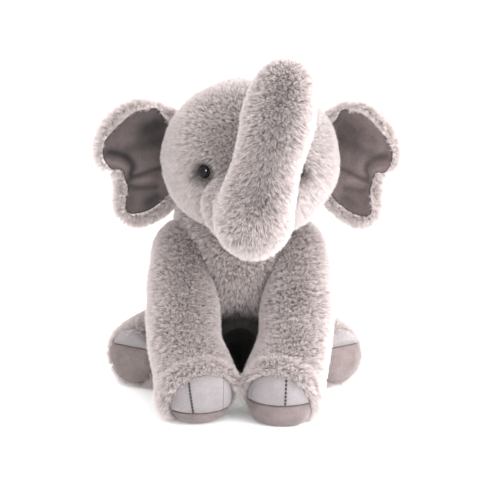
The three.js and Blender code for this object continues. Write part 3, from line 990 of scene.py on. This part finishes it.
def make_hind_leg(name, side):
    """A leg that ends in a flat foot, turned outwards and closed by a nail panel and a sole."""
    stations = sided(HIND_LEG, side, HIND_SPREAD[side])
    foot = np.array(stations[-1][0])
    ahead = np.array([side * math.sin(HIND_TURN), -math.cos(HIND_TURN), 0])

    def slab(low, high):
        """A box from low to high along the foot."""
        obj = box_object("slab", (-FAR, -high, -FAR), (FAR, -low, FAR))
        turn = Matrix.Rotation(side * HIND_TURN, 4, "Z")
        obj.data.transform(Matrix.Translation(Vector(foot) * MM) @ turn)
        return obj

    obj = flat_bottom(body_object(f"hind_leg_fur_{name}", stations, -PILE), 1.0)
    combine(obj, slab(HIND_REACH - 3.5, FAR), "DIFFERENCE")
    replaced = (f"hind_leg_skin_{name}", f"hind_leg_stuffing_{name}")
    stuffed(obj, 8 + side, replaced, "hind_leg_" + name)
    p, density, length, shade = pile_weights(obj, "hind_" + name)
    behind_sole = ((p - foot) @ ahead > HIND_REACH - 6) & (normals_of(obj) @ ahead > 0.8)
    density *= ~behind_sole
    grow_pile(obj, (density, length, shade), seed=30 + side)

    plate = body_object("plate", stations, -2.5, around=96, rings=60, cap=20)
    combine(plate, slab(HIND_REACH - 5, HIND_REACH - 0.5), "INTERSECT")
    panels = cut_panels(plate, "hind", name, HIND_NAIL_HEIGHT, 0.9)

    def rounded(p):
        across = (p - foot) @ np.cross(ahead, [0, 0, 1])
        reach = np.sqrt(across**2 + (p[:, 2] - foot[2]) ** 2)
        return smoothstep(23 - reach, 0, 10) * smoothstep(np.abs(p[:, 2] - HIND_NAIL_HEIGHT), 0, 5)

    for obj in panels.values():
        puff(obj, 2.2, rounded)
    finish_panels(panels, "hind", name)


def make_tail():
    """The short tail and the tuft at its end."""
    obj = body_object("tail_fur", TAIL, -1.2, rings=30)
    remesh(obj, 0.9, 3)
    dress(obj, FUR)
    free = depth(points_of(obj), TORSO) > -PILE
    ones = np.ones(len(free))
    grow_pile(obj, (ones * free, ones, ones), strand=3.5, seed=41)
    stand_in(obj, "tail", 0.6, "tail_skin")
    tuft = ball_object("tail_tuft_fur", TUFT, -2.5)
    remesh(tuft, 0.9, 2)
    fluff(tuft, 44, tuft=0.6, swell=0.3, lift=0)
    dress(tuft, FUR)
    ones = np.ones(len(tuft.data.vertices))
    grow_pile(tuft, (ones, ones, ones), strand=7, seed=42, comb=(0, 0, -0.9))
    stand_in(tuft, "tail", 0.5, "tail_tuft")


def make_neck():
    """The pad of filling under the head."""
    x, y, z = HEAD_TURN
    low, high, radius = z - 66.5, z - 54, 17.8
    profile = [(0, low), (radius - 1.8, low), (radius, low + 2), (radius, high), (0, high)]
    obj = lathe("neck_filling", profile)
    obj.data.transform(Matrix.Translation((x * MM, y * MM, 0)))
    cut_ellipsoid(obj, HEAD, 0.6 - PILE)
    remesh(obj, 1.2, 2)
    dress(obj, STUFFING)
    stand_in(obj, "neck", 0.5, "neck_stuffing")


def outline_points(outline, count=180, inset=0.0):
    """A closed smooth outline through the points, drawn inwards by inset."""
    v = np.array(outline, float)
    n = len(v)
    t = np.linspace(0, n, count, endpoint=False)
    i = t.astype(int)
    p = spline(v[(i - 1) % n], v[i % n], v[(i + 1) % n], v[(i + 2) % n], (t - i)[:, None])
    ahead = np.roll(p, -1, 0) - np.roll(p, 1, 0)
    normal = np.stack([ahead[:, 1], -ahead[:, 0]], 1) / np.linalg.norm(ahead, axis=1)[:, None]
    area = (p[:, 0] * np.roll(p[:, 1], -1) - np.roll(p[:, 0], -1) * p[:, 1]).sum()
    return p - normal * inset * math.copysign(1, area)


def edge_distance(points, outline):
    """How far points are inside a closed outline; negative outside."""
    far = np.full(len(points), NOWHERE)
    inside = np.zeros(len(points), bool)
    for a, b in zip(outline, np.roll(outline, -1, 0)):
        ab = b - a
        t = np.clip(((points - a) @ ab) / (ab @ ab), 0, 1)
        far = np.minimum(far, np.linalg.norm(points - a - t[:, None] * ab, axis=1))
        crosses = (a[1] > points[:, 1]) != (b[1] > points[:, 1])
        x = a[0] + (points[:, 1] - a[1]) / (b[1] - a[1] if b[1] != a[1] else 1e-9) * ab[0]
        inside ^= crosses & (points[:, 0] < x)
    return np.where(inside, far, -far)


def ear_bowl(u, w):
    """How far back the ear's middle surface lies: hollow near the head, and its rims come forward."""
    hollow = 7 * np.exp(-(((u - 67) / 15) ** 2) - ((w - 8) / 22) ** 2)
    lower = 3 * np.exp(-(((u - 82) / 16) ** 2) - ((w + 30) / 16) ** 2)
    rim = 5.5 * smoothstep(u, 85, 122) + 3 * smoothstep(w, 20, 42) * smoothstep(u, 55, 75)
    notch = 3.5 * np.exp(-(((u - 104) / 9) ** 2) - ((w + 19) / 9) ** 2)
    return hollow + lower - rim + notch


def ear_place(local, name):
    """Points outwards, up and back of the ear's middle plane, set by the seam."""
    side, flare = SIDES[name], EAR_FLARE[name]
    out, back = local[:, 0] - EAR_SEAM[0], local[:, 2]
    x = EAR_SEAM[0] + out * math.cos(flare) + back * math.sin(flare)
    y = EAR_SEAM[1] - out * math.sin(flare) + back * math.cos(flare)
    return np.stack([side * x, y, EAR_SEAM[2] + local[:, 1]], 1)


def ear_local(points, name):
    """The inverse of ear_place."""
    side, flare = SIDES[name], EAR_FLARE[name]
    x, y = side * points[:, 0] - EAR_SEAM[0], points[:, 1] - EAR_SEAM[1]
    out = x * math.cos(flare) - y * math.sin(flare)
    back = x * math.sin(flare) + y * math.cos(flare)
    return np.stack([EAR_SEAM[0] + out, points[:, 2] - EAR_SEAM[2], back], 1)


def polygon_slab(name, outline, front, back):
    """A flat plate of triangles with an outline, from front to back along the third axis."""
    n = len(outline)
    verts = [(u, w, front) for u, w in outline] + [(u, w, back) for u, w in outline]
    faces = [tuple(range(n)), tuple(range(2 * n - 1, n - 1, -1))]
    faces += [(i, n + i, n + (i + 1) % n, (i + 1) % n) for i in range(n)]
    obj = new_object(name, verts, faces)
    obj.modifiers.new("triangles", "TRIANGULATE")
    return apply_modifiers(obj)


LINING_EDGE = outline_points(LINING_OUTLINE)
RECESS = 5.2  # how deep the lining lies behind the rim
CUT_LARGE = 1.045  # the lining's cloth is this much larger than the recess


def face_out(obj, name):
    """An ear is laid out the way the right one lies, so the left one's faces are turned over."""
    if name == "left":
        obj.data.flip_normals()


def make_ear(name):
    """The ear's furry back, whose rim stands proud all round the recess for its lining."""
    side = SIDES[name]
    ear = polygon_slab(f"ear_fur_{name}", outline_points(EAR_OUTLINE, inset=EAR_INSET[name]), -3.4, 3.6)
    remesh(ear, 1.1, 8)
    local, facing = points_of(ear), normals_of(ear)[:, 2]
    within = edge_distance(local[:, :2], LINING_EDGE)
    front = facing < -0.3
    local[:, 2] += np.where(front, RECESS * smoothstep(within, -0.8, 2.0), 0)
    local[:, 2] += ear_bowl(local[:, 0], local[:, 1])
    set_points(ear, ear_place(local, name))
    face_out(ear, name)
    smooth = points_of(ear)
    fluff(ear, 50 + side, tuft=0.4, swell=0.4, lift=0)
    under_lining = front & (within > -1.5)
    set_points(ear, np.where(under_lining[:, None], smooth, points_of(ear)))
    dress(ear, FUR)
    head_free = outside_ellipsoid(points_of(ear), HEAD) + PILE
    bare = (facing < 0.3) & (within > -1.1)
    density = (~bare & (head_free > 0)).astype(float)
    length = np.where(front, 0.45 + 0.55 * smoothstep(-within, 1, 5), 1.0)
    length *= 0.6 + 0.4 * smoothstep(head_free, 0, 6)
    # The ear's pale pile is painted light; its back keeps a little less of it
    weights = (density, length, np.where(facing > 0.5, 0.86, 1.0))
    comb = (0.12 * side, 0, -0.12)
    grow_pile(ear, weights, 6.0, 60 + side, comb, clump=0.0, strands=PAINTED_LIGHT_RIM_STRANDS, dense=1.6)
    stand_in(ear, "ear_" + name, 0.3, f"ear_back_{name}")
    make_lining(name)


# Folds of the ear's lining, outwards and upwards as above: points along each, its half width and
# how deep it lies; those below zero are ridges. They gather at the notch in the ear's edge.
LINING_FOLDS = [
    ([(60, 27), (68, 21), (78, 17)], 8.0, 3.0),
    ([(62, 9), (76, 6), (92, 2)], 5.0, 1.8),
    ([(109, 1), (101, -1), (94, -5), (90, -11), (92.5, -17)], 2.8, 3.4),
    ([(110, -6), (101, -8), (95.5, -13), (96, -20)], 2.2, -2.6),
    ([(94, -21.5), (86, -19), (77, -16), (66, -13)], 2.2, 2.4),
    ([(88, -24), (76, -21)], 3.0, -1.2),
    ([(93, -27), (84, -29), (72, -28)], 2.4, 2.0),
    ([(78, -40), (72, -36)], 5.0, 2.6),
]


def ear_folds(points):
    """How much further back the lining lies in its folds."""
    total = np.zeros(len(points))
    for path, width, deep in LINING_FOLDS:
        line = catmull(path, np.linspace(0, 1, 24))
        total += deep * np.exp(-((path_distance(points, line) / width) ** 2))
    return total


def lining_mesh():
    """The lining as it is cut: points, triangles and how far each point is from the edge."""
    step = 1.5
    u, w = np.meshgrid(np.arange(50, 122, step), np.arange(-56, 44, step))
    grid = np.stack([u.ravel(), w.ravel()], 1)
    inner = grid[edge_distance(grid, LINING_EDGE) > 0.6]
    first, count = len(inner), len(LINING_EDGE)
    edges = [(first + i, first + (i + 1) % count) for i in range(count)]
    points = [Vector(p) for p in np.vstack([inner, LINING_EDGE])]
    verts, _, faces, *_ = delaunay_2d_cdt(points, edges, [], 1, 1e-5)
    flat = np.array([tuple(v) for v in verts])
    return flat, [tuple(f) for f in faces], edge_distance(flat, LINING_EDGE)


def make_lining(name):
    """The smooth cloth inside the ear, cut a little large, so that it folds in from the notch."""
    flat, faces, within = lining_mesh()
    cloth = np.column_stack([flat, np.zeros(len(flat))])
    soft = smoothstep(within, 0, 6)
    relief = ear_folds(flat) + 0.5 * noise_at(cloth, 15, 9)
    back = np.clip(relief - 1.2, -5.0, 1.0) * soft - 2.2 * (1 - soft)
    back += ear_bowl(flat[:, 0], flat[:, 1])
    start = ear_place(np.column_stack([flat, back]), name)
    middle = cloth.mean(0)
    cut = ear_place(middle + (cloth - middle) * CUT_LARGE, name)
    obj = new_object(f"ear_lining_cloth_{name}", start, faces)
    run_cloth(obj, 20, 1.0, pins=within < 0.8, rest=cut)
    mod = obj.modifiers.new("thick", "SOLIDIFY")
    mod.thickness = 0.6 * MM
    mod.offset = 0
    smooth_shaded(finer(apply_modifiers(obj)))
    local = ear_local(points_of(obj), name)[:, :2]
    seam = 1 - 0.5 * smoothstep(-edge_distance(local, LINING_EDGE), -1.6, -0.4)
    # Painted shade darkens the lining in its folds, over each ear's own painted light and shade; the darker
    # edge is its seam
    shade_corners(obj, (LINING_PAINTED_SHADE[name] - 0.15 * ear_folds(local)) * seam)
    dress(obj, LINING)
    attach(obj, "ear_" + name)
    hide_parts(f"ear_lining_{name}")


make_torso()
make_head()
make_trunk()
for name, side in SIDES.items():
    make_eye(name)
    make_ear(name)
    make_front_leg(name, side)
    make_hind_leg(name, side)
    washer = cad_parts[f"eye_washer_{name}"]
    washer.data.materials.clear()
    washer.data.materials.append(WASHER)
make_tail()
make_neck()

# The floor
floor_mat, _, _, floor_shader = new_material("floor", (0.93, 0.925, 0.925), 0.9)
floor_shader.inputs["Emission Color"].default_value = (1, 1, 1, 1)
floor_shader.inputs["Emission Strength"].default_value = 0.12
FLOOR_EDGE = 4000
corners = [(x * FLOOR_EDGE, y * FLOOR_EDGE, 0) for x, y in ((-1, -1), (1, -1), (1, 1), (-1, 1))]
floor = new_object("floor", corners, [(0, 1, 2, 3)])
floor.data.materials.append(floor_mat)

world = bpy.data.worlds.new("studio")
scene.world = world
world.use_nodes = True
sky = world.node_tree.nodes["Background"]
sky.inputs["Color"].default_value = (1.0, 0.995, 0.995, 1)
sky.inputs["Strength"].default_value = 1.32

# Name, place, the point that it is aimed at, power and size, in metres and watts
LIGHTS = [
    ("front", (0.1, -1.5, 0.15), (0, 0, 0.12), 5, 1.0),
    ("back_right", (1.0, 0.35, 0.6), (0, 0, 0.15), 20, 0.8),
    ("back_left", (-1.0, 0.6, 0.7), (0, 0, 0.15), 6, 0.8),
    ("top", (0.5, -0.3, 1.3), (0, 0, 0.12), 10, 1.0),
    ("side_right", (1.1, -0.7, 0.5), (0, 0, 0.13), 16, 0.8),
    ("eye_light", (0.35, -1.15, 0.71), (0, -0.04, 0.18), 75, 0.42),
]


def soft_light(name, at, aim, energy, size):
    data = bpy.data.lights.new(name, "AREA")
    data.energy = energy
    data.size = size
    obj = linked(name, data)
    obj.location = at
    obj.rotation_euler = (Vector(aim) - Vector(at)).to_track_quat("-Z", "Y").to_euler()


for light in LIGHTS:
    soft_light(*light)
# The last one only lights the beads, for the catch light in each eye
beads = bpy.data.collections.new("beads")
for name in SIDES:
    beads.objects.link(bpy.data.objects[f"eye_bead_{name}"])
bpy.data.objects["eye_light"].light_linking.receiver_collection = beads

DISTANCE = 1.4
ELEVATION = math.radians(14)
SPAN = 0.36  # the width that the camera sees at that distance
SENSOR = 36.0
camera_data = bpy.data.cameras.new("camera")
camera = linked("camera", camera_data)
target = Vector((-0.008, -0.026, 0.121))
camera.location = target + Vector((0, -math.cos(ELEVATION), math.sin(ELEVATION))) * DISTANCE
camera.rotation_euler = (target - camera.location).to_track_quat("-Z", "Y").to_euler()
camera_data.sensor_width = SENSOR
camera_data.lens = SENSOR * DISTANCE / SPAN
scene.camera = camera
scene.view_settings.view_transform = "Standard"
